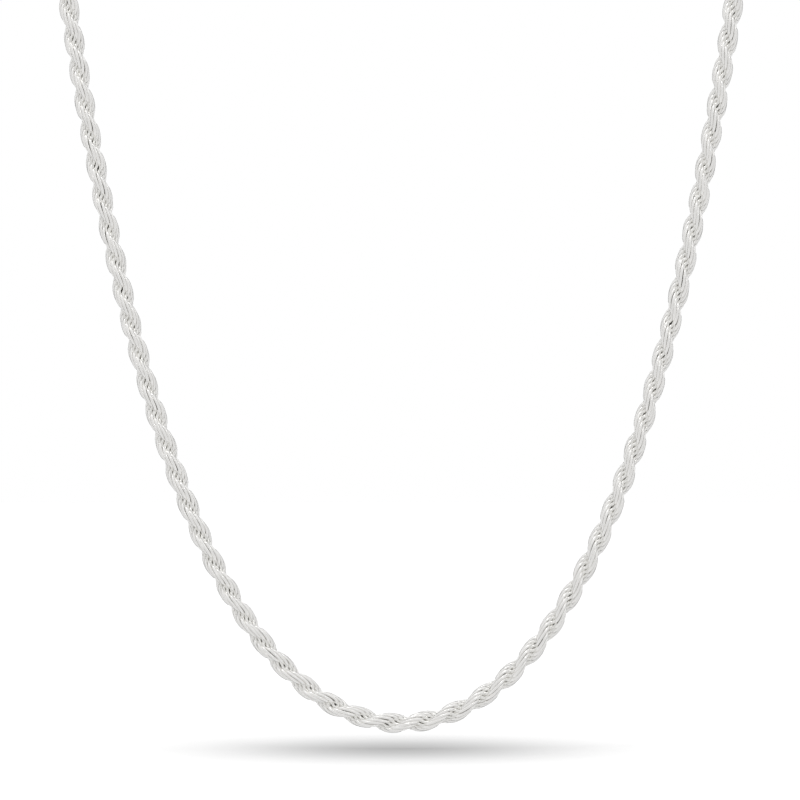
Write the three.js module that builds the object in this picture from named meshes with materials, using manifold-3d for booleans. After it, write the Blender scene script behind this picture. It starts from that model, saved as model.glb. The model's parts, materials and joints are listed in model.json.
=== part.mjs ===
// A rope chain necklace, clasped and worn: the front hangs in a U, the rest passes round the neck.
// Millimetres, +Z up. The front faces -Y, +X is the right of the picture that a viewer in front sees.
// The origin is on the nape of the neck, at the middle of the clasp's skin side.
import * as THREE from "three";
import { mergeVertices } from "three/addons/utils/BufferGeometryUtils.js";
import Module from "manifold-3d";

const wasm = await Module();
wasm.setup();

// Rope
const pitch = 10.1; // one full turn of the two strands, and the length of one rope section
const ropeWidth = 3.0; // across the lobes
const ropeWaist = 2.1; // across the waists, between two lobes
const turnHand = -1; // the strands turn left-handed
const turnStart = 1.0; // from the lowest point to where one of the strands faces the front
const jointGap = 0.3; // between two rope sections, where one flexes on the next
const endRound = 1.2; // length of a section's rounded end
const frontSections = 26; // in the hanging U, an even number, so that a joint is at its lowest point
const sideSections = 11; // round each side of the neck

// Route
const hangRadius = 20.4; // the catenary's parameter: the radius of the U at its lowest point
const neckRise = 40; // from the top of the U to the nape
const shoulderHandle = 0.3; // how far the rope rises before it turns back, as a share of its side length
const napeHandle = 0.38; // how far it runs along the nape, as a share of its side length

// End caps, with an eye each
const capWall = 0.3;
const capDepth = 2.6; // of the cup that holds the end of the rope
const capPlate = 0.6; // closed end of the cup
const capClearance = 0.15; // round the rope and at its tip
const eyeWall = 0.65; // radial thickness of the eyes on the caps and on the clasp
const eyeClearance = 0.35; // between an eye and the wire through it
const eyeWidth = 1.0; // along the hole
const capEyeGap = 0.25; // from a cap's end face to the edge of its eye's hole
const tailEyeSink = 0.15; // from the clasp's end to the edge of its tail eye's hole, into the clasp

// Jump rings
const jumpWire = 0.8; // wire diameter
const jumpInner = 2.9; // inner diameter of the ring on the clasp's tail
const catchInner = 3.6; // inner diameter of the ring that the claw hooks

// Lobster clasp
const claspLength = 12.2; // without its tail eye
const claspHeight = 6.6;
const claspThickness = 2.6;
const clawWall = 1.3; // of the hook, seen from the side
const baseLength = 4.4; // solid base that holds the lever
const clawTip = 2.5; // how far the hook's tip comes back from the nose
const hookPlay = 0.1; // between the nose's corners and the hooked ring round it
const leverThickness = 1.0;
const leverPlay = 0.15; // on each side of the lever in its slot
const gatePlay = 0.2; // between the gate and what it closes on
const gateRoot = 0.8; // how far the gate starts behind the pin
const lipWall = 0.6; // of the lip on the gate, which stops it behind the hook's tip
const lipBack = 1.5; // how far the lip starts before the hook's tip
const lipReach = 0.7; // how far it ends past the hook's tip
const footHeight = 0.9; // of the foot that joins the lip to the gate
const footSink = 0.4; // how far the foot goes into the gate
const pivotAt = 3.4; // from the base's end to the pin
const pinRadius = 0.5;
const pinPlay = 0.1; // round the pin, in the lever
const pinSeat = 0.02; // round the pin, in the clasp's two cheeks
const pinHead = 0.15; // how far each end of the pin stands out
const hubWall = 0.5; // of the lever, round the pin
const heelLength = 1.9; // of the lever's tail, from the pin
const heelHalf = 0.4; // half its height
const armHalf = 0.45; // half the width of the thumb tab's arm
const tabRadius = 0.8;
const tabHeight = 4.0; // of the thumb tab's centre over the pin
const tabBack = 0.5; // of the thumb tab's centre, behind the pin
const floorWall = 0.6; // under the spring
const springWire = 0.2;
const springDiameter = 0.9;
const springTurns = 3;
const springGap = 0.05; // between the spring's ends and what it presses on

const silver = { color: 0xd9d9d8, roughness: 0.22, metalness: 1.0 };
const necklace = new THREE.Group();

// A closed geometry as a manifold-3d solid.
function solidOf(geometry) {
  const bare = geometry.clone();
  bare.deleteAttribute("normal");
  bare.deleteAttribute("uv");
  const merged = mergeVertices(bare, 1e-4);
  return new wasm.Manifold(
    new wasm.Mesh({
      numProp: 3,
      vertProperties: merged.attributes.position.array,
      triVerts: new Uint32Array(merged.index.array),
    }),
  );
}

// A manifold-3d solid as a geometry.
function geometryOf(solid) {
  const mesh = solid.getMesh();
  const geometry = new THREE.BufferGeometry();
  geometry.setAttribute("position", new THREE.BufferAttribute(mesh.vertProperties, 3));
  geometry.setIndex(new THREE.BufferAttribute(mesh.triVerts, 1));
  geometry.computeVertexNormals();
  return geometry;
}

function addPiece(parent, name, geometry) {
  const mesh = new THREE.Mesh(geometry, new THREE.MeshStandardMaterial(silver));
  mesh.name = name;
  parent.add(mesh);
  return mesh;
}

// Hardware, worked out along the line of the nape from the middle of the necklace
const wireRadius = jumpWire / 2;
const eyeHole = wireRadius + eyeClearance;
const eyeRadius = eyeHole + eyeWall;
const tailRing = (jumpInner + jumpWire) / 2;
const catchRing = (catchInner + jumpWire) / 2;
const tailEyeAt = tailEyeSink - eyeHole; // middle of the tail eye, from the clasp's end
const noseReach = (catchInner / 2 - hookPlay) ** 2 - (claspThickness / 2) ** 2;
const hookedAt = claspLength - clawWall + Math.sqrt(noseReach) - catchRing;
const eyeToEye = 2 * tailRing - tailEyeAt + hookedAt + 2 * catchRing;
const eyeOffset = eyeHole + capEyeGap; // from a cap's end face to the middle of its eye
const tipToEye = capClearance + capPlate + eyeOffset;
const napeHalf = eyeToEye / 2 + tipToEye;
const napeY = claspThickness / 2 + pinHead;

// The U is a catenary, and each side of the neck is a Bezier curve of exactly its sections' length.
const frontHalf = (frontSections / 2) * pitch;
const sideLength = sideSections * pitch;
const topX = hangRadius * Math.asinh(frontHalf / hangRadius);
const dropOfU = Math.hypot(frontHalf, hangRadius) - hangRadius;
const topSlope = new THREE.Vector3(hangRadius, 0, frontHalf).normalize();

function sideCurve(depth) {
  const top = new THREE.Vector3(topX, napeY - depth, -neckRise);
  const nape = new THREE.Vector3(napeHalf, napeY, 0);
  const rise = topSlope.clone().multiplyScalar(shoulderHandle * sideLength);
  const run = new THREE.Vector3(napeHandle * sideLength, 0, 0);
  return new THREE.CubicBezierCurve3(top, top.clone().add(rise), nape.clone().add(run), nape);
}

// The neck's depth follows from the length of rope that goes round it, and is found by halving.
const halvings = 40;
let shallow = 0;
let deep = sideLength;
for (let i = 0; i < halvings; i++) {
  const middle = (shallow + deep) / 2;
  if (sideCurve(middle).getLength() < sideLength) shallow = middle;
  else deep = middle;
}
const neckDepth = shallow;
const side = sideCurve(neckDepth);
const frontY = napeY - neckDepth;
const lowestZ = -neckRise - dropOfU;

// Point and direction at a distance along the rope, measured from the lowest point towards +X.
function routeAt(along) {
  const s = Math.abs(along);
  const hand = Math.sign(along) || 1;
  let point;
  let tangent;
  if (s <= frontHalf) {
    const x = hangRadius * Math.asinh(s / hangRadius);
    point = new THREE.Vector3(x, frontY, lowestZ + Math.hypot(s, hangRadius) - hangRadius);
    tangent = new THREE.Vector3(hangRadius, 0, s).normalize();
  } else {
    const share = Math.min((s - frontHalf) / sideLength, 1);
    point = side.getPointAt(share);
    tangent = side.getTangentAt(share);
  }
  point.x *= hand;
  tangent.set(tangent.x, tangent.y * hand, tangent.z * hand);
  return { point, tangent };
}

// One full turn of rope: a capsule flattened to the rope's two strands, twisted and bent to the route.
function ropeSection(name, start) {
  const straight = pitch - jointGap - 2 * endRound;
  const geometry = new THREE.CapsuleGeometry(endRound, straight, 3, 8, 9);
  const position = geometry.getAttribute("position");
  for (let i = 0; i < position.count; i++) {
    const along = start + pitch / 2 + position.getY(i);
    const wide = (position.getX(i) / endRound) * (ropeWidth / 2);
    const thin = (-position.getZ(i) / endRound) * (ropeWaist / 2);
    const turn = (turnHand * 2 * Math.PI * (along - turnStart)) / pitch;
    const { point, tangent } = routeAt(along);
    const outward = new THREE.Vector3(point.x, point.y - (frontY + napeY) / 2, 0);
    const across = outward.addScaledVector(tangent, -outward.dot(tangent)).normalize();
    const third = new THREE.Vector3().crossVectors(tangent, across);
    point.addScaledVector(across, wide * Math.cos(turn) - thin * Math.sin(turn));
    point.addScaledVector(third, wide * Math.sin(turn) + thin * Math.cos(turn));
    position.setXYZ(i, point.x, point.y, point.z);
  }
  geometry.computeVertexNormals();
  addPiece(necklace, name, geometry);
}

// Sections are numbered downwards in the U, and from the U up to the nape round the neck.
for (let i = 0; i < frontSections / 2; i++) {
  const number = String(frontSections / 2 - i).padStart(2, "0");
  ropeSection("rope_front_left_" + number, -(i + 1) * pitch);
  ropeSection("rope_front_right_" + number, i * pitch);
}
for (let i = 0; i < sideSections; i++) {
  const number = String(i + 1).padStart(2, "0");
  ropeSection("rope_neck_left_" + number, -frontHalf - (i + 1) * pitch);
  ropeSection("rope_neck_right_" + number, frontHalf + i * pitch);
}

// A flat shape, thickened evenly to both sides of its plane.
function plate(shape, thickness) {
  const geometry = new THREE.ExtrudeGeometry(shape, {
    depth: thickness,
    bevelEnabled: false,
    curveSegments: 20,
  });
  return solidOf(geometry.translate(0, 0, -thickness / 2));
}

function ellipse(x, y, halfLength, halfHeight) {
  return new THREE.Shape().absellipse(x, y, halfLength, halfHeight, 0, 2 * Math.PI);
}

function block(left, bottom, right, top, thickness) {
  const geometry = new THREE.BoxGeometry(right - left, top - bottom, thickness);
  return solidOf(geometry.translate((left + right) / 2, (bottom + top) / 2, 0));
}

function rod(x, y, radius, length) {
  const geometry = new THREE.CylinderGeometry(radius, radius, length, 16);
  return solidOf(geometry.rotateX(Math.PI / 2).translate(x, y, 0));
}

// End cap: a cup for the rope's end, with an eye on its closed end. The cup opens to -X.
function endCap(name, eyeX, turned) {
  const inner = ropeWidth / 2 + capClearance;
  const outer = inner + capWall;
  const length = capDepth + capPlate;
  const profile = [
    new THREE.Vector2(0, -capPlate),
    new THREE.Vector2(inner, -capPlate),
    new THREE.Vector2(inner, -length),
    new THREE.Vector2(outer, -length),
    new THREE.Vector2(outer, -capWall),
    new THREE.Vector2(outer - capWall, 0),
    new THREE.Vector2(0, 0),
  ];
  const cup = new THREE.LatheGeometry(profile, 20).rotateZ(-Math.PI / 2);
  const ring = ellipse(eyeOffset, 0, eyeRadius, eyeRadius);
  ring.holes.push(ellipse(eyeOffset, 0, eyeHole, eyeHole));
  const eye = plate(ring, eyeWidth);
  const cap = addPiece(necklace, name, geometryOf(solidOf(cup).add(eye)));
  cap.rotation.set(Math.PI / 2, 0, turned ? Math.PI : 0, "ZXY");
  cap.position.set(eyeX + (turned ? eyeOffset : -eyeOffset), napeY, 0);
}

function jumpRing(name, centreX, radius) {
  const ring = addPiece(necklace, name, new THREE.TorusGeometry(radius, wireRadius, 8, 24));
  ring.position.set(centreX, napeY, 0);
}

const leftEyeX = -eyeToEye / 2;
const claspX = leftEyeX + 2 * tailRing - tailEyeAt; // the base's end
endCap("end_cap_left", leftEyeX, false);
endCap("end_cap_right", -leftEyeX, true);
jumpRing("tail_jump_ring", leftEyeX + tailRing, tailRing);
jumpRing("catch_jump_ring", -leftEyeX - catchRing, catchRing);

// The clasp is drawn flat, x from its base to its nose and y up, and stood up against the nape.
const clasp = new THREE.Group();
clasp.position.set(claspX, napeY, 0);
clasp.rotation.x = Math.PI / 2;
necklace.add(clasp);

const halfHeight = claspHeight / 2;
const hookStart = baseLength;
const hookEnd = claspLength - clawWall;
const hookMiddle = (hookStart + hookEnd) / 2;
const hookHalf = (hookEnd - hookStart) / 2;
const hookHeight = halfHeight - clawWall;
const mouthEnd = hookEnd - clawTip;
const mouthReach = Math.hypot(mouthEnd - pivotAt, hookHeight); // of the hook's tip, from the pin
const beyond = 2 * claspHeight; // past every face
const slotWidth = leverThickness + 2 * leverPlay;
const hubRadius = pinRadius + hubWall;
const chestAt = pivotAt - gateRoot;
const slotTop = hubRadius + gatePlay;
const springAt = pivotAt - heelLength + springDiameter / 2;
const floorY = -halfHeight * Math.sqrt(1 - (1 - (2 * springAt) / claspLength) ** 2) + floorWall;

function claspBody() {
  const outline = plate(ellipse(claspLength / 2, 0, claspLength / 2, halfHeight), claspThickness);
  const hook = plate(ellipse(hookMiddle, 0, hookHalf, hookHeight), beyond);
  // The tip's face is round about the pin, so that the gate's end passes it at one distance.
  const mouth = plate(ellipse(pivotAt, 0, mouthReach, mouthReach), beyond)
    .intersect(block(hookStart, -beyond, beyond, 0, beyond));
  const ring = plate(ellipse(tailEyeAt, 0, eyeRadius, eyeRadius), eyeWidth);
  const hole = plate(ellipse(tailEyeAt, 0, eyeHole, eyeHole), beyond);
  const gateSlot = block(chestAt - gatePlay, -beyond, baseLength + gatePlay, slotTop, slotWidth);
  const heelEnd = pivotAt - heelLength - 2 * gatePlay;
  const heelPocket = block(heelEnd, floorY, pivotAt, slotTop, slotWidth);
  const tabSlot = block(heelEnd, 0, pivotAt + armHalf + gatePlay, beyond, slotWidth);
  const pinHole = rod(pivotAt, 0, pinRadius + pinSeat, beyond);
  const solid = outline.add(ring).subtract(hook).subtract(mouth).subtract(hole);
  return solid.subtract(gateSlot).subtract(heelPocket).subtract(tabSlot).subtract(pinHole);
}

function claspLever() {
  const wall = plate(ellipse(claspLength / 2, 0, claspLength / 2, halfHeight), leverThickness);
  const hook = plate(ellipse(hookMiddle, 0, hookHalf, hookHeight), beyond);
  const gateReach = mouthReach - gatePlay;
  const gateEnd = plate(ellipse(pivotAt, 0, gateReach, gateReach), beyond);
  const gate = wall.subtract(hook).intersect(block(chestAt, -beyond, beyond, 0, beyond));
  const hub = rod(pivotAt, 0, hubRadius, leverThickness);
  const heel = block(pivotAt - heelLength, -heelHalf, pivotAt, heelHalf, leverThickness);
  const armAt = pivotAt - tabBack;
  const arm = block(armAt - armHalf, 0, armAt + armHalf, tabHeight, leverThickness);
  const tab = rod(armAt, tabHeight, tabRadius, claspThickness - 2 * capWall);
  // The lip behind the hook's tip stops the gate from swinging outwards.
  const lipLength = hookHalf - gatePlay;
  const lipHeight = hookHeight - gatePlay;
  const lipOuter = plate(ellipse(hookMiddle, 0, lipLength, lipHeight), leverThickness);
  const lipInner = plate(ellipse(hookMiddle, 0, lipLength - lipWall, lipHeight - lipWall), beyond);
  const lip = lipOuter
    .subtract(lipInner)
    .intersect(block(mouthEnd - lipBack, -beyond, mouthEnd + lipReach, 0, beyond));
  const footBottom = -hookHeight - footSink;
  const foot = block(mouthEnd - lipBack, footBottom, mouthEnd, footBottom + footHeight, leverThickness);
  const closing = gate.add(foot).intersect(gateEnd);
  const pinHole = rod(pivotAt, 0, pinRadius + pinPlay, beyond);
  return closing.add(lip).add(hub).add(heel).add(arm).add(tab).subtract(pinHole);
}

class Helix extends THREE.Curve {
  getPoint(t, target = new THREE.Vector3()) {
    const angle = 2 * Math.PI * springTurns * t;
    const radius = (springDiameter - springWire) / 2;
    const low = floorY + springGap + springWire / 2;
    const high = -heelHalf - springGap - springWire / 2;
    const y = low + (high - low) * t;
    return target.set(springAt + radius * Math.cos(angle), y, radius * Math.sin(angle));
  }
}

function claspSpring() {
  const section = ellipse(0, 0, springWire / 2, springWire / 2);
  return new THREE.ExtrudeGeometry(section, {
    extrudePath: new Helix(),
    steps: springTurns * 12,
    curveSegments: 3,
    bevelEnabled: false,
  });
}

addPiece(clasp, "clasp_body", geometryOf(claspBody()));
addPiece(clasp, "clasp_lever", geometryOf(claspLever()));
const pinLength = claspThickness + 2 * pinHead;
addPiece(clasp, "clasp_pin", geometryOf(rod(pivotAt, 0, pinRadius, pinLength)));
addPiece(clasp, "clasp_spring", claspSpring());

export default necklace;
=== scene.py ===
"""A rope chain necklace in polished silver, worn and closed at the nape by a lobster clasp.

The rope is made of open wire rings, threaded on the frame's route as two strands that turn round each
other. The rings' inner sides pass through each other near the route. The findings are cast and turned
pieces: two end caps, two jump rings, and the clasp with its lever, pin and spring.
"""
import json
import math

import bmesh
import bpy
from bpy.props import FloatProperty, FloatVectorProperty, IntProperty, PointerProperty, StringProperty
from mathutils import Matrix, Vector


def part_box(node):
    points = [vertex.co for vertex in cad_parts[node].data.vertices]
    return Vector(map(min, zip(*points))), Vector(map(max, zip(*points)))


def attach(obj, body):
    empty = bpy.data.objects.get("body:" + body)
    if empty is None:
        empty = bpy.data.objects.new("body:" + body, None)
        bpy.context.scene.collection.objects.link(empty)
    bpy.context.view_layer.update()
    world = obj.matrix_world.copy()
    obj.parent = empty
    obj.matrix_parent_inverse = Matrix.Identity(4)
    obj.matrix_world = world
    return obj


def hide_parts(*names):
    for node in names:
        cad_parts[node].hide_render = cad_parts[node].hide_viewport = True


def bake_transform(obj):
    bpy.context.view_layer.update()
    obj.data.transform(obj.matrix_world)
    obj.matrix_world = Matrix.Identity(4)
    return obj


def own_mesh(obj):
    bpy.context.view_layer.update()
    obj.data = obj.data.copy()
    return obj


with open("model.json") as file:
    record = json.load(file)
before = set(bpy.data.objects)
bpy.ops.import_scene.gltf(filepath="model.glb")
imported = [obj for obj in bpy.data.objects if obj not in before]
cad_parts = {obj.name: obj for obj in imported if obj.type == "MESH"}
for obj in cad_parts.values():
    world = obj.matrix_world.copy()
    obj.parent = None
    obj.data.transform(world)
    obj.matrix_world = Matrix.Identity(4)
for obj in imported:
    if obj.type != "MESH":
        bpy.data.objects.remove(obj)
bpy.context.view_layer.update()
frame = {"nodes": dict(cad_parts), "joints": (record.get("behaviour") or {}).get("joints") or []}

bl_info = {
    "name": "Rope chain necklace",
    "version": (1, 0, 0),
    "blender": (4, 5, 0),
    "location": "3D View > Sidebar > Necklace",
    "description": "Builds the rings, findings and studio of a worn rope chain necklace",
    "category": "Add Mesh",
}

MM = 0.001
HELD = "neck_rope_and_clasp"  # the body that rests on the neck
JOINTS = {joint["name"]: joint for joint in frame["joints"]}
ARM_SECTIONS = sum(name.startswith("flex_left_") for name in JOINTS)  # of one arm of the hanging U
NECK_SECTIONS = sum(name.startswith("rope_neck_left_") for name in frame["nodes"])
ARM_TOP = Vector(JOINTS["flex_right_01"]["pos_m"])
PIN_AT = Vector(JOINTS["clasp_lever_pivot"]["pos_m"])
UP = Vector((0, 0, 1))

LEFT_HANDED = -1.0
ARC_POINTS = 49  # of a ring, before it is resampled
RING_STEPS = 16  # straight steps round a ring
WIRE_SIDES = 5  # of a ring's wire
SEED = 7  # of the rings' unevenness and tone
ROUTE_STEPS = 4  # of the route, from one ring to the next

GROOVES_AT = (0.42 * MM, 0.98 * MM)  # from an end cap's mouth to each of its grooves
GROOVE_SLOPE = 0.08 * MM  # length of a groove's sloped side
GROOVE_FLOOR = 0.12 * MM  # length of its floor
# A cap's rounded shoulder: mm before its closed end, and mm in from its side
CAP_SHOULDER = ((0.6, 0.0), (0.35, 0.07), (0.15, 0.24), (0.04, 0.5), (0.0, 0.85))
PAST_HOLE = 0.1 * MM  # how far a cap's closed end reaches past the edge of its eye's hole
EYE_EDGE = 0.2 * MM  # chamfer of an eye's edges
# The pin's domed ends: mm from its end, and share of its radius
PIN_DOME = ((0.0, 0.0), (0.02, 0.55), (0.09, 0.88), (0.22, 1.0))
SPRING_STEPS = 28  # straight steps in one turn of the spring
TURNED_ROUNDING = 0.05 * MM  # of the edges of the caps and of the jump rings' ends
EYE_ROUNDING = 0.06 * MM
CLASP_DOMING = 0.35  # how much thinner the clasp is at its outline
SHADE_LENGTH = 1.25  # of the shade from front to back, as a share of its width
SHADE_LEFT = 0.5 * MM  # from the middle to the shade's centre
FLOOR_SHARE = 0.96  # radius of the floor, as a share of the tent's


# Sizes and colours that a user would change

def length(name, default, description):
    return FloatProperty(
        name=name, description=description, default=default, min=0, precision=5, unit="LENGTH"
    )


class RopeSizes(bpy.types.PropertyGroup):
    turn_length: length("Turn length", 10.1 * MM, "Rope in which the two strands turn once, one section")
    turn_start: length("Turn start", 1.0 * MM, "From the lowest point to where a strand faces the front")
    hang_radius: length("Hang radius", 20.4 * MM, "Radius of the hanging curve at its lowest point")
    section_gap: length("Section gap", 0.3 * MM, "Gap between two sections of the frame")
    shoulder_handle: FloatProperty(
        name="Shoulder handle", default=0.3, min=0, max=1,
        description="How far the rope rises before it turns back, as a share of its length round one side",
    )
    nape_handle: FloatProperty(
        name="Nape handle", default=0.38, min=0, max=1,
        description="How far the rope runs along the nape, as a share of its length round one side",
    )
    rings_per_turn: IntProperty(
        name="Rings per turn", default=28, min=8, max=60, description="Rings in one turn of the strands"
    )
    ring_width: length("Ring width", 3.17 * MM, "Outer width of a ring across the rope")
    ring_stretch: FloatProperty(
        name="Ring stretch", default=1.48, min=1, max=2,
        description="Length of a ring along the rope, as a share of its width",
    )
    ring_tilt: FloatProperty(
        name="Ring tilt", default=math.radians(-7), subtype="ANGLE", unit="ROTATION",
        description="Angle between a ring's long side and the rope",
    )
    ring_squareness: FloatProperty(
        name="Ring squareness", default=0.42, min=0, max=0.9,
        description="How much fuller than an oval a ring is at its ends",
    )
    ring_depth: FloatProperty(
        name="Ring depth", default=0.6, min=0, max=1,
        description="Reach of a ring's inner side past the middle, as a share of its outer side's",
    )
    ring_gap: FloatProperty(
        name="Ring gap", default=math.radians(12), subtype="ANGLE", unit="ROTATION",
        description="Angle left open on a ring's inner side",
    )
    wire: length("Wire", 0.55 * MM, "Diameter of the wire that the rings are bent from")
    unevenness: FloatProperty(
        name="Unevenness", default=math.radians(2.5), subtype="ANGLE", unit="ROTATION",
        description="Most that one ring leans out of line with the next",
    )


class FindingSizes(bpy.types.PropertyGroup):
    cap_outer: length("Cap diameter", 3.9 * MM, "Outer diameter of an end cap")
    cap_wall: length("Cap wall", 0.3 * MM, "Wall of an end cap's cup")
    cap_plate: length("Cap plate", 0.6 * MM, "Closed end of an end cap's cup")
    eye_wall: length("Eye wall", 0.65 * MM, "Radial thickness of an end cap's eye")
    eye_width: length("Eye width", 1.0 * MM, "Width of an end cap's eye along its hole")
    ring_wire: length("Jump ring wire", 0.8 * MM, "Diameter of the wire of the two jump rings")
    ring_cut: length("Jump ring cut", 0.06 * MM, "Width of the saw cut where a jump ring closes")
    casting_grain: length("Casting grain", 0.075 * MM, "Size of the faces of the cast pieces")
    pin_radius: length("Pin radius", 0.5 * MM, "Radius of the clasp's pin")
    spring_wire: length("Spring wire", 0.2 * MM, "Diameter of the spring's wire")
    spring_turns: IntProperty(
        name="Spring turns", default=4, min=2, max=12, description="Turns of the spring"
    )


class StudioSizes(bpy.types.PropertyGroup):
    camera_distance: length("Camera distance", 1.0, "From the hanging part of the necklace to the camera")
    camera_rise: length("Camera rise", 50.9 * MM, "Height of the camera above the rope's lowest point")
    camera_side: FloatProperty(
        name="Camera side", default=-0.15 * MM, precision=5, unit="LENGTH",
        description="Camera to the right of the middle",
    )
    view_width: length("View width", 126 * MM, "Width of the picture at the hanging part")
    floor_drop: length("Floor drop", 4.1 * MM, "From the rope's lowest point down to the floor")
    tent_radius: length("Tent radius", 2.5, "Radius of the light tent round the object")
    floor_glow: FloatProperty(
        name="Floor glow", default=0.32, min=0, max=2, description="Light that comes up through the floor"
    )
    shadow_radius: length("Shadow radius", 27 * MM, "Where the shade under the necklace has mostly faded")
    shadow_depth: FloatProperty(
        name="Shadow depth", default=0.5, min=0, max=1,
        description="Light that the shade takes from the floor",
    )


def colour(name, default, description):
    return StringProperty(name=name, default=default, description=description)


class NecklaceColours(bpy.types.PropertyGroup):
    silver: colour("Silver", "#FDFCFA", "Bright polished silver, on the outer side of the rings")
    # The silver given to the rings' inner sides, towards the rope's middle: a little darker than the outer
    # sides.
    silver_recess: colour("Silver in recesses", "#F8F7F4", "Silver that the polishing wheel does not reach")
    steel: colour("Steel", "#C9CACC", "Stainless steel of the clasp's spring")
    floor: colour("Floor", "#F7F7F7", "White acrylic of the floor")


# Small helpers

def sizes(kind):
    return getattr(bpy.context.scene, kind)


def linear(hex_colour):
    """An sRGB hex colour as linear red, green, blue and alpha."""
    parts = [int(hex_colour[i : i + 2], 16) / 255 for i in (1, 3, 5)]
    return [p / 12.92 if p <= 0.04045 else ((p + 0.055) / 1.055) ** 2.4 for p in parts] + [1.0]


def add(tree, kind, values=None, **settings):
    """A new node with its settings, and its inputs either linked to a socket or set to a value."""
    made = tree.nodes.new(kind)
    for name, value in settings.items():
        setattr(made, name, value)
    for key, value in (values or {}).items():
        if isinstance(value, bpy.types.NodeSocket):
            tree.links.new(value, made.inputs[key])
        else:
            made.inputs[key].default_value = value
    return made


def new_object(name, mesh):
    made = bpy.data.objects.new(name, mesh)
    bpy.context.scene.collection.objects.link(made)
    return made


def mesh_of(name, points, faces):
    mesh = bpy.data.meshes.new(name)
    mesh.from_pydata(points, [], faces)
    mesh.validate()
    return mesh


def plain_mesh(made):
    """Turns what the object's modifiers make into its own mesh, and removes them."""
    depsgraph = bpy.context.evaluated_depsgraph_get()
    evaluated = made.evaluated_get(depsgraph)
    mesh = bpy.data.meshes.new_from_object(evaluated, preserve_all_data_layers=True, depsgraph=depsgraph)
    made.modifiers.clear()
    made.data = mesh
    mesh.name = made.name
    return made


def tidy_mesh(made, merge=1e-7):
    """Merges doubled points, points the faces outwards and shades them smooth."""
    work = bmesh.new()
    work.from_mesh(made.data)
    bmesh.ops.remove_doubles(work, verts=work.verts, dist=merge)
    bmesh.ops.recalc_face_normals(work, faces=work.faces)
    for face in work.faces:
        face.smooth = True
    work.to_mesh(made.data)
    work.free()
    return made


def set_material(made, material):
    made.data.materials.clear()
    made.data.materials.append(material)
    return made


# Materials

def new_material(name):
    """A material with an empty node tree, and the tree."""
    material = bpy.data.materials.new(name)
    material.use_nodes = True
    material.node_tree.nodes.clear()
    return material, material.node_tree


def metal_output(tree, colour, roughness, normal=None):
    """The end of a metal's tree, with a bump if there is a normal."""
    values = {"Base Color": colour, "Metallic": 1.0, "Roughness": roughness}
    if normal is not None:
        values["Normal"] = normal
    shader = add(tree, "ShaderNodeBsdfPrincipled", values)
    add(tree, "ShaderNodeOutputMaterial", {"Surface": shader.outputs[0]})


def silver_tone(tree, factor):
    """The silver's colour, from its recesses at 0 to its bright outside at 1."""
    colours = sizes("necklace_colours")
    return add(
        tree, "ShaderNodeMix",
        {"Factor": factor, 6: linear(colours.silver_recess), 7: linear(colours.silver)}, data_type="RGBA",
    ).outputs[2]


def polished_rope_silver():
    """Sterling silver wire, tumbled and polished, its colour a little darker on the rings' inner sides,
    towards the rope's middle.
    """
    material = bpy.data.materials.get("polished_rope_silver")
    if material:
        return material
    material, tree = new_material("polished_rope_silver")
    outwardness = add(tree, "ShaderNodeAttribute", attribute_name="outwardness")
    tone = add(tree, "ShaderNodeAttribute", attribute_name="tone")
    place = add(tree, "ShaderNodeTexCoord")
    # Handling marks about 0.6 mm across: real ones are finer, and would not show.
    marks = add(
        tree, "ShaderNodeTexNoise",
        {"Vector": place.outputs["Object"], "Scale": 1 / (0.6 * MM), "Detail": 4.0, "Roughness": 0.6},
    )
    blend = add(tree, "ShaderNodeMath", {0: marks.outputs["Fac"], 1: tone.outputs["Fac"]}, operation="ADD")
    roughness = add(
        tree, "ShaderNodeMapRange",
        {"Value": blend.outputs[0], "From Min": 0.5, "From Max": 1.5, "To Min": 0.18, "To Max": 0.32},
    )
    # Marks of the wire's drawing, 0.16 mm across and finer.
    drawn = add(
        tree, "ShaderNodeTexNoise",
        {"Vector": place.outputs["Object"], "Scale": 1 / (0.16 * MM), "Detail": 2.0},
    )
    bump = add(
        tree, "ShaderNodeBump",
        {"Height": drawn.outputs["Fac"], "Strength": 0.12, "Distance": 0.02 * MM},
    )
    # The darker silver on the rings' inner sides, the bright silver on their outer sides.
    silver = silver_tone(tree, outwardness.outputs["Fac"])
    metal_output(tree, silver, roughness.outputs["Result"], bump.outputs["Normal"])
    return material


def cast_silver():
    """Lost-wax cast silver, barrelled to a soft shine: a faint skin of the casting shows in the gloss."""
    material = bpy.data.materials.get("cast_silver")
    if material:
        return material
    material, tree = new_material("cast_silver")
    place = add(tree, "ShaderNodeTexCoord")
    skin = add(
        tree, "ShaderNodeTexNoise",
        {"Vector": place.outputs["Object"], "Scale": 1 / (0.9 * MM), "Detail": 5.0, "Roughness": 0.55},
    )
    roughness = add(
        tree, "ShaderNodeMapRange",
        {"Value": skin.outputs["Fac"], "From Min": 0.3, "From Max": 0.7, "To Min": 0.14, "To Max": 0.24},
    )
    bump = add(
        tree, "ShaderNodeBump",
        {"Height": skin.outputs["Fac"], "Strength": 0.15, "Distance": 0.03 * MM},
    )
    silver = silver_tone(tree, skin.outputs["Fac"])
    metal_output(tree, silver, roughness.outputs["Result"], bump.outputs["Normal"])
    return material


def spring_steel():
    """Hard-drawn stainless wire: greyer than silver, with fine marks of its drawing."""
    material, tree = new_material("spring_steel")
    place = add(tree, "ShaderNodeTexCoord")
    drawn = add(
        tree, "ShaderNodeTexNoise",
        {"Vector": place.outputs["Object"], "Scale": 1 / (0.1 * MM), "Detail": 3.0},
    )
    roughness = add(
        tree, "ShaderNodeMapRange",
        {"Value": drawn.outputs["Fac"], "From Min": 0.3, "From Max": 0.7, "To Min": 0.22, "To Max": 0.36},
    )
    steel = linear(sizes("necklace_colours").steel)
    metal_output(tree, steel, roughness.outputs["Result"])
    return material


# The rope's route, the same as the frame's

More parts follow.
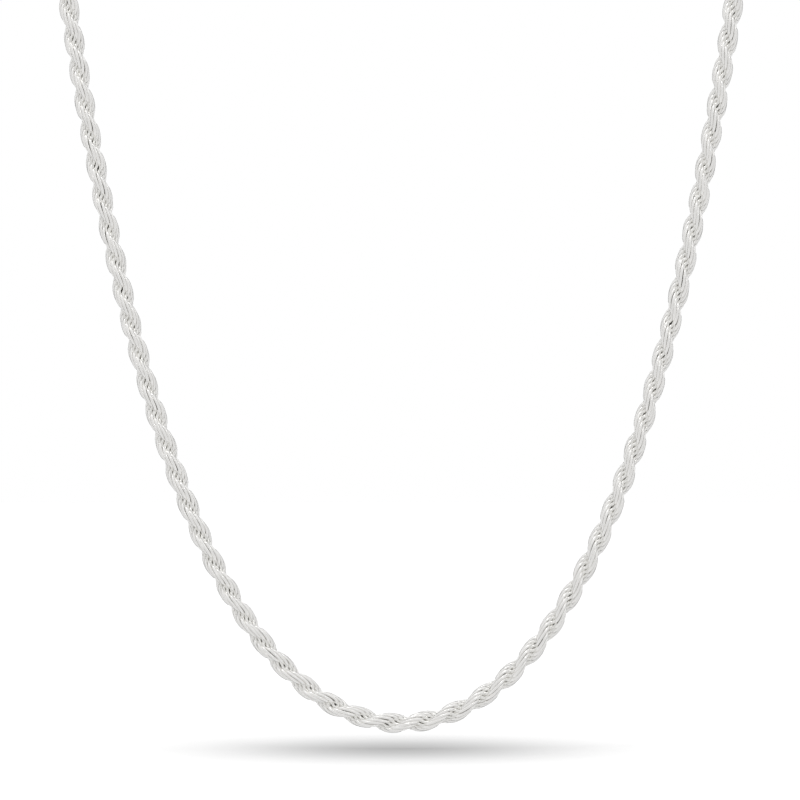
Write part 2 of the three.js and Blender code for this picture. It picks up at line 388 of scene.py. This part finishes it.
def lowest_height(rope):
    """Height of the route at the bottom of the U."""
    half = ARM_SECTIONS * rope.turn_length
    return ARM_TOP.z - math.hypot(half, rope.hang_radius) + rope.hang_radius


def side_curve(rope):
    """Points along the right side of the neck, from the top of the U to the nape."""
    side_length = NECK_SECTIONS * rope.turn_length
    half = ARM_SECTIONS * rope.turn_length
    last = f"rope_neck_right_{NECK_SECTIONS:02d}"
    nape = Vector((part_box(last)[0].x - rope.section_gap / 2, PIN_AT.y, 0))
    slope = Vector((rope.hang_radius, 0, half)).normalized()
    rise = ARM_TOP + slope * rope.shoulder_handle * side_length
    run = nape + Vector((rope.nape_handle * side_length, 0, 0))
    points = []
    steps = 2000
    for i in range(steps + 1):
        t = i / steps
        u = 1 - t
        points.append(u**3 * ARM_TOP + 3 * u * u * t * rise + 3 * u * t * t * run + t**3 * nape)
    return points


def route_points(rope, start, end, step):
    """Points on the rope's middle line between two distances from the lowest point, positive to the right."""
    half = ARM_SECTIONS * rope.turn_length
    lowest = lowest_height(rope)
    side = side_curve(rope)
    distances = [0.0]
    for a, b in zip(side, side[1:]):
        distances.append(distances[-1] + (b - a).length)
    share = distances[-1] / (NECK_SECTIONS * rope.turn_length)
    count = max(2, round((end - start) / step))
    places = [start + (end - start) * i / count for i in range(count + 1)]
    j = 0
    found = {}
    # Nearest first, so that j only moves up the side.
    for along in sorted(places, key=abs):
        hand = -1 if along < 0 else 1
        far = abs(along)
        if far <= half:
            x = rope.hang_radius * math.asinh(far / rope.hang_radius)
            z = lowest + math.hypot(far, rope.hang_radius) - rope.hang_radius
            point = Vector((x, ARM_TOP.y, z))
        else:
            reach = min((far - half) * share, distances[-1])
            while j < len(distances) - 2 and distances[j + 1] < reach:
                j += 1
            point = side[j].lerp(side[j + 1], (reach - distances[j]) / (distances[j + 1] - distances[j]))
        found[along] = Vector((point.x * hand, point.y, point.z))
    return [found[along] for along in places]


# Rings along a route

INPUTS = (
    ("Rings", "Int", "How many rings this stretch has"),
    ("First ring", "Int", "Number of the first ring, counted from the lowest point"),
    ("Rings per turn", "Int", "Rings in one turn of the strands"),
    ("Turn length", "Float", "Length of one turn"),
    ("Turn start", "Float", "Where a strand faces the front"),
    ("Turn hand", "Float", "1 for right-handed strands, -1 for left-handed"),
    ("Neck middle", "Float", "Y of the middle of the neck, which the strands are turned from"),
    ("Ring width", "Float", "Outer width of a ring across the rope"),
    ("Ring stretch", "Float", "Length of a ring as a share of its width"),
    ("Ring tilt", "Float", "Angle between a ring's long side and the rope"),
    ("Ring squareness", "Float", "How much fuller than an oval a ring is at its ends"),
    ("Ring depth", "Float", "Reach of the inner side past the middle"),
    ("Ring gap", "Float", "Angle left open on the inner side"),
    ("Wire", "Float", "Wire diameter"),
    ("Unevenness", "Float", "Most that a ring leans out of line"),
    ("Ring steps", "Int", "Straight steps round a ring"),
    ("Wire sides", "Int", "Sides of the wire"),
    ("Seed", "Int", "Seed of the unevenness"),
    ("Silver", "Material", "Material of the rings"),
)


def rings_tree():
    """Geometry nodes that thread two turning strands of open rings on a route."""
    tree = bpy.data.node_groups.get("Rope rings")
    if tree:
        return tree
    tree = bpy.data.node_groups.new("Rope rings", "GeometryNodeTree")
    tree.interface.new_socket(name="Route", in_out="INPUT", socket_type="NodeSocketGeometry")
    for name, kind, description in INPUTS:
        socket = tree.interface.new_socket(name=name, in_out="INPUT", socket_type="NodeSocket" + kind)
        socket.description = description
    tree.interface.new_socket(name="Rings", in_out="OUTPUT", socket_type="NodeSocketGeometry")
    given = add(tree, "NodeGroupInput").outputs

    def maths(operation, *values):
        made = add(tree, "ShaderNodeMath", dict(enumerate(values)), operation=operation)
        return made.outputs[0]

    def vectors(operation, *values):
        made = add(tree, "ShaderNodeVectorMath", dict(enumerate(values)), operation=operation)
        return made.outputs["Value" if operation == "DOT_PRODUCT" else "Vector"]

    # Places on the route
    line = add(tree, "GeometryNodeMeshToCurve", {"Mesh": given["Route"]})
    places = add(
        tree, "GeometryNodeCurveToPoints", {"Curve": line.outputs[0], "Count": given["Rings"]}, mode="COUNT"
    )
    number = maths("ADD", add(tree, "GeometryNodeInputIndex").outputs[0], given["First ring"])
    tangent = places.outputs["Tangent"]

    # The angle of each ring round the rope: two strands, opposite each other
    spacing = maths("DIVIDE", given["Turn length"], given["Rings per turn"])
    back = maths("MULTIPLY", given["Turn start"], -1.0)
    along = maths("MULTIPLY_ADD", maths("ADD", number, 0.5), spacing, back)
    turned = maths("MULTIPLY", maths("DIVIDE", along, given["Turn length"]), given["Turn hand"])
    strand = maths("MULTIPLY", maths("FLOORED_MODULO", number, 2.0), 0.5)
    angle = maths("MULTIPLY", maths("ADD", turned, strand), 2 * math.pi)

    # Outwards from the neck's middle, square to the route
    middle = add(tree, "ShaderNodeCombineXYZ", {"Y": given["Neck middle"]}).outputs[0]
    position = add(tree, "GeometryNodeInputPosition").outputs[0]
    outward = vectors("MULTIPLY", vectors("SUBTRACT", position, middle), (1.0, 1.0, 0.0))
    lift = vectors("DOT_PRODUCT", outward, tangent)
    leaning = add(tree, "ShaderNodeVectorMath", {0: tangent, "Scale": lift}, operation="SCALE").outputs[0]
    across = vectors("NORMALIZE", vectors("SUBTRACT", outward, leaning))
    closed = add(
        tree, "ShaderNodeVectorRotate",
        {"Vector": across, "Axis": tangent, "Angle": angle}, rotation_type="AXIS_ANGLE",
    ).outputs[0]
    long_side = add(
        tree, "ShaderNodeVectorRotate",
        {"Vector": tangent, "Axis": closed, "Angle": maths("MULTIPLY", given["Ring tilt"], -1.0)},
        rotation_type="AXIS_ANGLE",
    ).outputs[0]
    set_out = add(
        tree, "FunctionNodeAxesToRotation",
        {"Primary Axis": closed, "Secondary Axis": long_side}, primary_axis="X", secondary_axis="Y",
    ).outputs[0]
    most = given["Unevenness"]
    least = maths("MULTIPLY", most, -1.0)
    lean = add(
        tree, "FunctionNodeRandomValue",
        {
            "Min": add(tree, "ShaderNodeCombineXYZ", {"X": least, "Y": least, "Z": least}).outputs[0],
            "Max": add(tree, "ShaderNodeCombineXYZ", {"X": most, "Y": most, "Z": most}).outputs[0],
            "ID": number,
            "Seed": given["Seed"],
        },
        data_type="FLOAT_VECTOR",
    ).outputs[0]
    uneven = add(
        tree, "FunctionNodeRotateRotation", {"Rotation": set_out, "Rotate By": lean}, rotation_space="LOCAL"
    ).outputs[0]

    # One ring, closed on its +X side
    radius = maths("MULTIPLY", maths("SUBTRACT", given["Ring width"], given["Wire"]), 0.5)
    sweep = maths("SUBTRACT", 2 * math.pi, given["Ring gap"])
    arc = add(
        tree, "GeometryNodeCurveArc",
        {
            "Resolution": ARC_POINTS,
            "Radius": radius,
            "Start Angle": maths("MULTIPLY", sweep, -0.5),
            "Sweep Angle": sweep,
        },
        mode="RADIUS",
    )
    stretch = add(tree, "ShaderNodeCombineXYZ", {"X": 1.0, "Y": given["Ring stretch"], "Z": 1.0}).outputs[0]
    oval = add(tree, "GeometryNodeTransform", {"Geometry": arc.outputs["Curve"], "Scale": stretch})
    place = add(tree, "ShaderNodeSeparateXYZ", {0: position}).outputs
    reach = maths("DIVIDE", place["X"], radius)
    fuller = maths("POWER", maths("ABSOLUTE", reach), maths("SUBTRACT", 1.0, given["Ring squareness"]))
    inner = maths("MULTIPLY", given["Ring depth"], -1.0)
    sign = add(
        tree, "GeometryNodeSwitch",
        {"Switch": maths("LESS_THAN", reach, 0.0), "False": 1.0, "True": inner}, input_type="FLOAT",
    ).outputs[0]
    shaped = add(
        tree, "ShaderNodeCombineXYZ",
        {"X": maths("MULTIPLY", maths("MULTIPLY", fuller, sign), radius), "Y": place["Y"], "Z": place["Z"]},
    ).outputs[0]
    link = add(tree, "GeometryNodeSetPosition", {"Geometry": oval.outputs[0], "Position": shaped})
    stepped = add(
        tree, "GeometryNodeResampleCurve",
        {"Curve": link.outputs[0], "Count": maths("ADD", given["Ring steps"], 1.0)}, mode="COUNT",
    )
    section = add(
        tree, "GeometryNodeCurvePrimitiveCircle",
        {"Resolution": given["Wire sides"], "Radius": maths("MULTIPLY", given["Wire"], 0.5)},
    )
    ring = add(
        tree, "GeometryNodeCurveToMesh",
        {"Curve": stepped.outputs[0], "Profile Curve": section.outputs["Curve"], "Fill Caps": True},
    )
    # Share of a ring's closed outer side: 0 on its inner half, which takes the darker silver, rising to 1 on
    # its outer side.
    worn = add(
        tree, "ShaderNodeMapRange",
        {"Value": reach, "From Min": 0.0, "From Max": 0.9, "To Min": 0.0, "To Max": 1.0},
    ).outputs["Result"]
    polished = add(
        tree, "GeometryNodeStoreNamedAttribute",
        {"Geometry": ring.outputs[0], "Name": "outwardness", "Value": worn}, data_type="FLOAT", domain="POINT",
    )

    # Thread the rings on the route
    threaded = add(
        tree, "GeometryNodeInstanceOnPoints",
        {"Points": places.outputs["Points"], "Instance": polished.outputs[0], "Rotation": uneven},
    )
    chance = add(
        tree, "FunctionNodeRandomValue", {"ID": number, "Seed": given["Seed"]}, data_type="FLOAT"
    )
    toned = add(
        tree, "GeometryNodeStoreNamedAttribute",
        {"Geometry": threaded.outputs[0], "Name": "tone", "Value": chance.outputs[1]},
        data_type="FLOAT", domain="INSTANCE",
    )
    real = add(tree, "GeometryNodeRealizeInstances", {"Geometry": toned.outputs[0]})
    smooth = add(tree, "GeometryNodeSetShadeSmooth", {"Geometry": real.outputs[0]})
    silvered = add(
        tree, "GeometryNodeSetMaterial", {"Geometry": smooth.outputs[0], "Material": given["Silver"]}
    )
    add(tree, "NodeGroupOutput", {"Rings": silvered.outputs[0]})
    return tree


def ringed_rope(name, start_ring, end_ring):
    """The rings from one number to the next, counted from the lowest point and negative to the left."""
    rope = sizes("rope_sizes")
    spacing = rope.turn_length / rope.rings_per_turn
    first = (start_ring + 0.5) * spacing
    last = (end_ring - 0.5) * spacing
    points = route_points(rope, first, last, spacing / ROUTE_STEPS)
    mesh = bpy.data.meshes.new(name + "_route")
    mesh.from_pydata(points, [(i, i + 1) for i in range(len(points) - 1)], [])
    made = new_object(name, mesh)
    tree = rings_tree()
    modifier = made.modifiers.new("Rings", "NODES")
    modifier.node_group = tree
    values = {
        "Rings": end_ring - start_ring,
        "First ring": start_ring,
        "Rings per turn": rope.rings_per_turn,
        "Turn length": rope.turn_length,
        "Turn start": rope.turn_start,
        "Turn hand": LEFT_HANDED,
        "Neck middle": (ARM_TOP.y + PIN_AT.y) / 2,
        "Ring width": rope.ring_width,
        "Ring stretch": rope.ring_stretch,
        "Ring tilt": rope.ring_tilt,
        "Ring squareness": rope.ring_squareness,
        "Ring depth": rope.ring_depth,
        "Ring gap": rope.ring_gap,
        "Wire": rope.wire,
        "Unevenness": rope.unevenness,
        "Ring steps": RING_STEPS,
        "Wire sides": WIRE_SIDES,
        "Seed": SEED,
        "Silver": polished_rope_silver(),
    }
    for socket in tree.interface.items_tree:
        if socket.in_out == "INPUT" and socket.name in values:
            modifier[socket.identifier] = values[socket.name]
    plain_mesh(made)
    return made


# Solids of the findings

def turned_solid(name, profile, steps, origin, axis):
    """A profile of (distance along the axis, radius), turned about an axis that starts at the origin."""
    along = Vector(axis).normalized()
    third = along.cross(UP)
    points = []
    faces = []
    rows = len(profile)
    for k in range(steps):
        angle = 2 * math.pi * k / steps
        spoke = UP * math.cos(angle) + third * math.sin(angle)
        points += [Vector(origin) + along * a + spoke * r for a, r in profile]
    for k in range(steps):
        here = k * rows
        there = (k + 1) % steps * rows
        for i in range(rows - 1):
            faces.append((here + i, here + i + 1, there + i + 1, there + i))
    made = new_object(name, mesh_of(name, points, faces))
    return tidy_mesh(made)


def swept_wire(name, centres, radius, sides):
    """A round wire along a line of points, with flat ends."""
    last = len(centres) - 1
    points = []
    faces = []
    normal = (centres[1] - centres[0]).normalized().orthogonal().normalized()
    for i, centre in enumerate(centres):
        along = (centres[min(i + 1, last)] - centres[max(i - 1, 0)]).normalized()
        normal = (normal - along * normal.dot(along)).normalized()
        third = along.cross(normal)
        for k in range(sides):
            angle = 2 * math.pi * k / sides
            points.append(centre + radius * (normal * math.cos(angle) + third * math.sin(angle)))
    for i in range(last):
        here = i * sides
        there = here + sides
        for k in range(sides):
            n = (k + 1) % sides
            faces.append((here + k, here + n, there + n, there + k))
    faces.append(tuple(range(sides))[::-1])
    faces.append(tuple(range(last * sides, (last + 1) * sides)))
    return tidy_mesh(new_object(name, mesh_of(name, points, faces)))


def joined(name, first, second):
    """Two closed solids as one."""
    union = first.modifiers.new("Join", "BOOLEAN")
    union.operation = "UNION"
    union.solver = "EXACT"
    union.object = second
    plain_mesh(first)
    bpy.data.objects.remove(second)
    first.name = name
    return first


def rounded(made, width):
    """Rounds the sharp edges of a solid."""
    bevel = made.modifiers.new("Rounding", "BEVEL")
    bevel.width = width
    bevel.segments = 2
    bevel.limit_method = "ANGLE"
    bevel.angle_limit = math.radians(35)
    bevel.use_clamp_overlap = True
    return plain_mesh(made)


def cast_copy(name, node, grain, passes):
    """A finely faced copy of a node's solid with its edges softened, as a casting's are."""
    made = new_object(name, frame["nodes"][node].data.copy())
    made.data.materials.clear()
    tidy_mesh(made, merge=1e-6)
    faces = made.modifiers.new("Faces", "REMESH")
    faces.mode = "VOXEL"
    faces.voxel_size = grain
    faces.use_smooth_shade = True
    soften = made.modifiers.new("Soften", "SMOOTH")
    soften.factor = 0.5
    soften.iterations = passes
    return plain_mesh(made)


def domed(made, centre, half_length, half_height, flattening):
    """Thins a flat casting towards its outline, so that its faces are domed."""
    for vertex in made.data.vertices:
        x = (vertex.co.x - centre.x) / half_length
        z = (vertex.co.z - centre.z) / half_height
        edge = min(1.0, math.hypot(x, z))
        vertex.co.y = centre.y + (vertex.co.y - centre.y) * (1 - flattening * edge**4)
    return made


# The pieces

class NECKLACE_OT_front_rope(bpy.types.Operator):
    """Rings of the hanging U, in lengths that each reach across one joint"""
    bl_idname = "necklace.front_rope"
    bl_label = "Front rope"

    def execute(self, context):
        rope = context.scene.rope_sizes
        turn = rope.rings_per_turn
        for hand, side in ((-1, "left"), (1, "right")):
            for k in range(1, ARM_SECTIONS + 1):
                joint_ring = (ARM_SECTIONS - k + 1) * turn
                ends = sorted((hand * (joint_ring - turn // 2), hand * (joint_ring + turn // 2)))
                piece = ringed_rope(f"front_rings_{side}_{k:02d}", *ends)
                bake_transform(piece)
                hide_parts(f"rope_front_{side}_{k:02d}")
            ends = sorted((0, hand * turn // 2))
            lowest = ringed_rope(f"lowest_rings_{side}", *ends)
            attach(lowest, f"front_{side}_{ARM_SECTIONS:02d}")
            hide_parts(f"rope_front_{side}_{ARM_SECTIONS:02d}")
        return {"FINISHED"}


class NECKLACE_OT_neck_rope(bpy.types.Operator):
    """Rings of the rope round both sides of the neck, up to the end caps"""
    bl_idname = "necklace.neck_rope"
    bl_label = "Neck rope"

    def execute(self, context):
        rope = context.scene.rope_sizes
        turn = rope.rings_per_turn
        for hand, side in ((-1, "left"), (1, "right")):
            first = ARM_SECTIONS * turn + turn // 2
            in_cap = turn // 7  # rings left out, where the end cap holds the rope
            last = (ARM_SECTIONS + NECK_SECTIONS) * turn - in_cap
            piece = ringed_rope(f"neck_rings_{side}", *sorted((hand * first, hand * last)))
            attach(piece, HELD)
            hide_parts(*(f"rope_neck_{side}_{k:02d}" for k in range(1, NECK_SECTIONS + 1)))
        return {"FINISHED"}


class NECKLACE_OT_end_caps(bpy.types.Operator):
    """Turned cups that hold the two ends of the rope, each with an eye for a jump ring"""
    bl_idname = "necklace.end_caps"
    bl_label = "End caps"

    def execute(self, context):
        found = context.scene.finding_sizes
        outer = found.cap_outer / 2
        inner = outer - found.cap_wall
        round_over = found.cap_wall * 0.4
        for hand, side in ((-1, "left"), (1, "right")):
            low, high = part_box(f"end_cap_{side}")
            mouth = high.x if hand > 0 else low.x
            eye_end = low.x if hand > 0 else high.x
            # The cup's length is what the eye leaves of the cap's.
            ring_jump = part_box("catch_jump_ring" if hand > 0 else "tail_jump_ring")
            wire_at = (ring_jump[1].x if hand > 0 else ring_jump[0].x) - hand * found.ring_wire / 2
            hole = abs(wire_at - eye_end) - found.eye_wall
            face = abs(eye_end - mouth) - (found.eye_wall + 2 * hole - PAST_HOLE)
            origin = Vector((mouth, PIN_AT.y, 0))
            groove = found.cap_wall * 0.35
            profile = [
                (face - found.cap_plate, 0.0),
                (face - found.cap_plate, inner - round_over),
                (face - found.cap_plate - round_over, inner),
                (round_over, inner),
                (0.0, inner + round_over),
                (0.0, outer - round_over),
                (round_over, outer),
            ]
            for at in GROOVES_AT:
                profile += [
                    (at, outer),
                    (at + GROOVE_SLOPE, outer - groove),
                    (at + GROOVE_SLOPE + GROOVE_FLOOR, outer - groove),
                    (at + 2 * GROOVE_SLOPE + GROOVE_FLOOR, outer),
                ]
            profile += [(face - back * MM, outer - inwards * MM) for back, inwards in CAP_SHOULDER]
            profile.append((face, 0.0))
            cup = turned_solid(f"cap_{side}", profile, 72, origin, (-hand, 0, 0))
            middle = Vector((wire_at, PIN_AT.y, 0))
            half = found.eye_width / 2
            edge = EYE_EDGE
            wall = found.eye_wall
            ring_profile = [
                (-half + edge, hole), (half - edge, hole), (half, hole + edge), (half, hole + wall - edge),
                (half - edge, hole + wall), (-half + edge, hole + wall), (-half, hole + wall - edge),
                (-half, hole + edge), (-half + edge, hole),
            ]
            eye = turned_solid(f"eye_{side}", ring_profile, 56, middle, (0, 1, 0))
            cap = joined(f"cap_with_eye_{side}", rounded(cup, TURNED_ROUNDING), rounded(eye, EYE_ROUNDING))
            set_material(tidy_mesh(cap), cast_silver())
            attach(cap, HELD)
            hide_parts(f"end_cap_{side}")
        return {"FINISHED"}


class NECKLACE_OT_jump_rings(bpy.types.Operator):
    """The two round wire rings between the end caps and the clasp, each closed at a saw cut"""
    bl_idname = "necklace.jump_rings"
    bl_label = "Jump rings"

    def execute(self, context):
        found = context.scene.finding_sizes
        for name, cut_at in (("tail_jump_ring", 60), ("catch_jump_ring", 115)):
            low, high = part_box(name)
            centre = (low + high) / 2
            radius = (high.x - low.x - found.ring_wire) / 2
            cut = found.ring_cut / radius / 2
            steps = 72
            centres = []
            for k in range(steps + 1):
                angle = math.radians(cut_at) + cut + (2 * math.pi - 2 * cut) * k / steps
                centres.append(centre + radius * Vector((math.cos(angle), math.sin(angle), 0)))
            ring = swept_wire(f"wire_{name}", centres, found.ring_wire / 2, 20)
            set_material(rounded(ring, TURNED_ROUNDING), cast_silver())
            tidy_mesh(ring)
            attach(ring, HELD)
            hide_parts(name)
        return {"FINISHED"}


class NECKLACE_OT_clasp(bpy.types.Operator):
    """The lobster clasp: cast body, lever, riveted pin and the spring that closes the lever"""
    bl_idname = "necklace.clasp"
    bl_label = "Lobster clasp"

    def execute(self, context):
        found = context.scene.finding_sizes
        low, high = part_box("clasp_body")
        tail_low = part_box("tail_jump_ring")[1].x
        centre = Vector(((tail_low + high.x) / 2, PIN_AT.y, 0))
        body = cast_copy("cast_clasp_body", "clasp_body", found.casting_grain, 10)
        domed(body, centre, (high.x - tail_low) / 2, high.z, CLASP_DOMING)
        lever = cast_copy("cast_clasp_lever", "clasp_lever", found.casting_grain * 0.8, 4)
        for piece, rides_on, node in ((body, HELD, "clasp_body"), (lever, "lever", "clasp_lever")):
            set_material(piece, cast_silver())
            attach(piece, rides_on)
            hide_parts(node)

        pin_low, pin_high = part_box("clasp_pin")
        long = pin_high.y - pin_low.y
        radius = found.pin_radius
        profile = [(a * MM, radius * share) for a, share in PIN_DOME]
        profile += [(long - a, r) for a, r in reversed(profile)]
        pin = turned_solid("riveted_pin", profile, 40, (PIN_AT.x, pin_low.y, 0), (0, 1, 0))
        set_material(pin, cast_silver())
        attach(pin, HELD)
        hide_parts("clasp_pin")

        low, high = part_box("clasp_spring")
        wire = found.spring_wire / 2
        coil = (high.y - low.y) / 2 - wire
        middle = (low + high) / 2
        bottom = low.z + wire
        top = high.z - wire
        steps = SPRING_STEPS * found.spring_turns
        flat = 0.12  # share of the spring at each end that lies flat
        centres = []
        for i in range(steps + 1):
            share = i / steps
            climb = min(1.0, max(0.0, (share - flat) / (1 - 2 * flat)))
            angle = 2 * math.pi * found.spring_turns * share
            centres.append(
                Vector((middle.x + coil * math.cos(angle), PIN_AT.y + coil * math.sin(angle),
                        bottom + (top - bottom) * climb))
            )
        spring = swept_wire("steel_spring", centres, wire, 8)
        set_material(spring, spring_steel())
        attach(spring, HELD)
        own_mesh(spring)
        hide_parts("clasp_spring")
        return {"FINISHED"}


# The studio

def backlit_acrylic(ground):
    """A matt white acrylic sheet lit from below, with a soft shade under the necklace."""
    studio = sizes("studio_sizes")
    material, tree = new_material("backlit_acrylic")
    place = add(tree, "ShaderNodeTexCoord")
    spread = studio.shadow_radius
    # The shade is a little longer from front to back than across.
    centred = add(
        tree, "ShaderNodeMapping",
        {
            "Vector": place.outputs["Object"],
            "Location": (SHADE_LEFT / spread, -ARM_TOP.y / (SHADE_LENGTH * spread), -ground / spread),
            "Scale": (1 / spread, 1 / (SHADE_LENGTH * spread), 1 / spread),
        },
    )
    away = add(tree, "ShaderNodeVectorMath", {0: centred.outputs[0]}, operation="LENGTH")
    squared = add(
        tree, "ShaderNodeMath", {0: away.outputs["Value"], 1: 2.0}, operation="POWER"
    )
    falling = add(tree, "ShaderNodeMath", {0: math.exp(-1), 1: squared.outputs[0]}, operation="POWER")
    shade = add(
        tree, "ShaderNodeMath",
        {0: falling.outputs[0], 1: -studio.shadow_depth, 2: 1.0}, operation="MULTIPLY_ADD",
    )
    fibres = add(
        tree, "ShaderNodeTexNoise", {"Vector": place.outputs["Object"], "Scale": 1 / (4 * MM), "Detail": 3.0}
    )
    bump = add(
        tree, "ShaderNodeBump", {"Height": fibres.outputs["Fac"], "Strength": 0.05, "Distance": 0.05 * MM}
    )
    sheet = add(
        tree, "ShaderNodeMix",
        {"Factor": shade.outputs[0], 6: (0.0, 0.0, 0.0, 1.0), 7: linear(sizes("necklace_colours").floor)},
        data_type="RGBA",
    )
    shader = add(
        tree, "ShaderNodeBsdfPrincipled",
        {
            "Base Color": sheet.outputs[2], "Roughness": 1.0, "Specular IOR Level": 0.0,
            "Emission Color": sheet.outputs[2], "Emission Strength": studio.floor_glow,
            "Normal": bump.outputs["Normal"],
        },
    )
    add(tree, "ShaderNodeOutputMaterial", {"Surface": shader.outputs[0]})
    return material


def tent_cloth():
    """The inside of a white light tent: brighter overhead, greyer in front, with a dark hoop behind."""
    material, tree = new_material("tent_cloth")
    place = add(tree, "ShaderNodeTexCoord")
    direction = add(tree, "ShaderNodeVectorMath", {0: place.outputs["Object"]}, operation="NORMALIZE")
    axes = add(tree, "ShaderNodeSeparateXYZ", {0: direction.outputs[0]})
    front = add(
        tree, "ShaderNodeMapRange",
        {"Value": axes.outputs["Y"], "From Min": -1.0, "From Max": -0.4, "To Min": 0.72, "To Max": 0.83},
        interpolation_type="SMOOTHSTEP",
    )
    overhead = add(
        tree, "ShaderNodeMapRange",
        {"Value": axes.outputs["Z"], "From Min": 0.2, "From Max": 0.9, "To Min": 0.0, "To Max": 0.1},
        interpolation_type="SMOOTHSTEP",
    )
    walls = add(tree, "ShaderNodeMath", {0: front.outputs[0], 1: overhead.outputs[0]}, operation="ADD")
    # The tent's hoop crosses it behind the object.
    off_hoop = add(
        tree, "ShaderNodeMath", {0: axes.outputs["Y"], 1: 0.42}, operation="SUBTRACT"
    )
    hoop = add(
        tree, "ShaderNodeMapRange",
        {
            "Value": add(tree, "ShaderNodeMath", {0: off_hoop.outputs[0]}, operation="ABSOLUTE").outputs[0],
            "From Min": 0.05, "From Max": 0.2, "To Min": 0.5, "To Max": 1.0,
        },
        interpolation_type="SMOOTHSTEP",
    )
    glow = add(tree, "ShaderNodeMath", {0: walls.outputs[0], 1: hoop.outputs[0]}, operation="MULTIPLY")
    light = add(
        tree, "ShaderNodeEmission",
        {"Color": (1.0, 1.0, 1.0, 1.0), "Strength": glow.outputs[0]},
    )
    add(tree, "ShaderNodeOutputMaterial", {"Surface": light.outputs[0]})
    return material


class NECKLACE_OT_stage(bpy.types.Operator):
    """Floor, light tent, soft lights, background and camera"""
    bl_idname = "necklace.stage"
    bl_label = "Studio"

    def execute(self, context):
        scene = context.scene
        studio = scene.studio_sizes
        lowest = lowest_height(scene.rope_sizes)
        ground = lowest - studio.floor_drop

        work = bmesh.new()
        bmesh.ops.create_circle(work, cap_ends=True, segments=64, radius=studio.tent_radius * FLOOR_SHARE)
        mesh = bpy.data.meshes.new("studio_floor")
        work.to_mesh(mesh)
        work.free()
        mesh.transform(Matrix.Translation((0, ARM_TOP.y, ground)))
        floor = new_object("studio_floor", mesh)
        set_material(floor, backlit_acrylic(ground))
        floor.visible_glossy = False  # polished silver would mirror the sheet as a blank white

        work = bmesh.new()
        bmesh.ops.create_uvsphere(work, u_segments=64, v_segments=32, radius=studio.tent_radius)
        mesh = bpy.data.meshes.new("light_tent")
        work.to_mesh(mesh)
        work.free()
        tent = new_object("light_tent", mesh)
        tent.visible_camera = False
        tent.visible_shadow = False
        set_material(tent, tent_cloth())

        for name, place, size, energy in (
            ("softbox_over", (-0.2, -0.5, 0.9), 0.25, 0.5),
            ("softbox_front", (0.5, -1.1, 0.35), 0.12, 0.2),
        ):
            data = bpy.data.lights.new(name, "AREA")
            data.shape = "DISK"
            data.size = size
            data.energy = energy
            box = bpy.data.objects.new(name, data)
            scene.collection.objects.link(box)
            box.location = place
            aim = Vector((0, ARM_TOP.y, lowest / 2)) - box.location
            box.rotation_euler = aim.to_track_quat("-Z", "Y").to_euler()

        world = bpy.data.worlds.new("white_background")
        world.use_nodes = True
        world.node_tree.nodes.clear()
        light = add(
            world.node_tree, "ShaderNodeBackground", {"Color": (1.0, 1.0, 1.0, 1.0), "Strength": 1.0}
        )
        add(world.node_tree, "ShaderNodeOutputWorld", {"Surface": light.outputs[0]})
        scene.world = world

        data = bpy.data.cameras.new("camera")
        data.sensor_width = 36.0
        data.lens = data.sensor_width * studio.camera_distance / studio.view_width
        data.clip_end = 20
        camera = bpy.data.objects.new("camera", data)
        scene.collection.objects.link(camera)
        camera_y = ARM_TOP.y - studio.camera_distance
        camera.location = (studio.camera_side, camera_y, lowest + studio.camera_rise)
        camera.rotation_euler = (math.pi / 2, 0, 0)
        scene.camera = camera
        scene.view_settings.view_transform = "Standard"
        return {"FINISHED"}


class NECKLACE_PT_panel(bpy.types.Panel):
    """Buttons for each group of pieces"""
    bl_label = "Necklace"
    bl_space_type = "VIEW_3D"
    bl_region_type = "UI"
    bl_category = "Necklace"

    def draw(self, context):
        for operator in OPERATORS:
            self.layout.operator(operator.bl_idname)
        for kind in SIZES:
            group = getattr(context.scene, kind)
            box = self.layout.box()
            for name in group.__annotations__:
                box.prop(group, name)


OPERATORS = (
    NECKLACE_OT_stage,
    NECKLACE_OT_front_rope,
    NECKLACE_OT_neck_rope,
    NECKLACE_OT_end_caps,
    NECKLACE_OT_jump_rings,
    NECKLACE_OT_clasp,
)
SIZES = {
    "rope_sizes": RopeSizes,
    "finding_sizes": FindingSizes,
    "studio_sizes": StudioSizes,
    "necklace_colours": NecklaceColours,
}


def register():
    for made in (*SIZES.values(), *OPERATORS, NECKLACE_PT_panel):
        bpy.utils.register_class(made)
    for name, kind in SIZES.items():
        setattr(bpy.types.Scene, name, PointerProperty(type=kind))


def unregister():
    for name in SIZES:
        delattr(bpy.types.Scene, name)
    for made in reversed((*SIZES.values(), *OPERATORS, NECKLACE_PT_panel)):
        bpy.utils.unregister_class(made)


def main():
    register()
    bpy.ops.necklace.stage()
    bpy.ops.necklace.front_rope()
    bpy.ops.necklace.neck_rope()
    bpy.ops.necklace.end_caps()
    bpy.ops.necklace.jump_rings()
    bpy.ops.necklace.clasp()


if __name__ == "__main__":
    main()
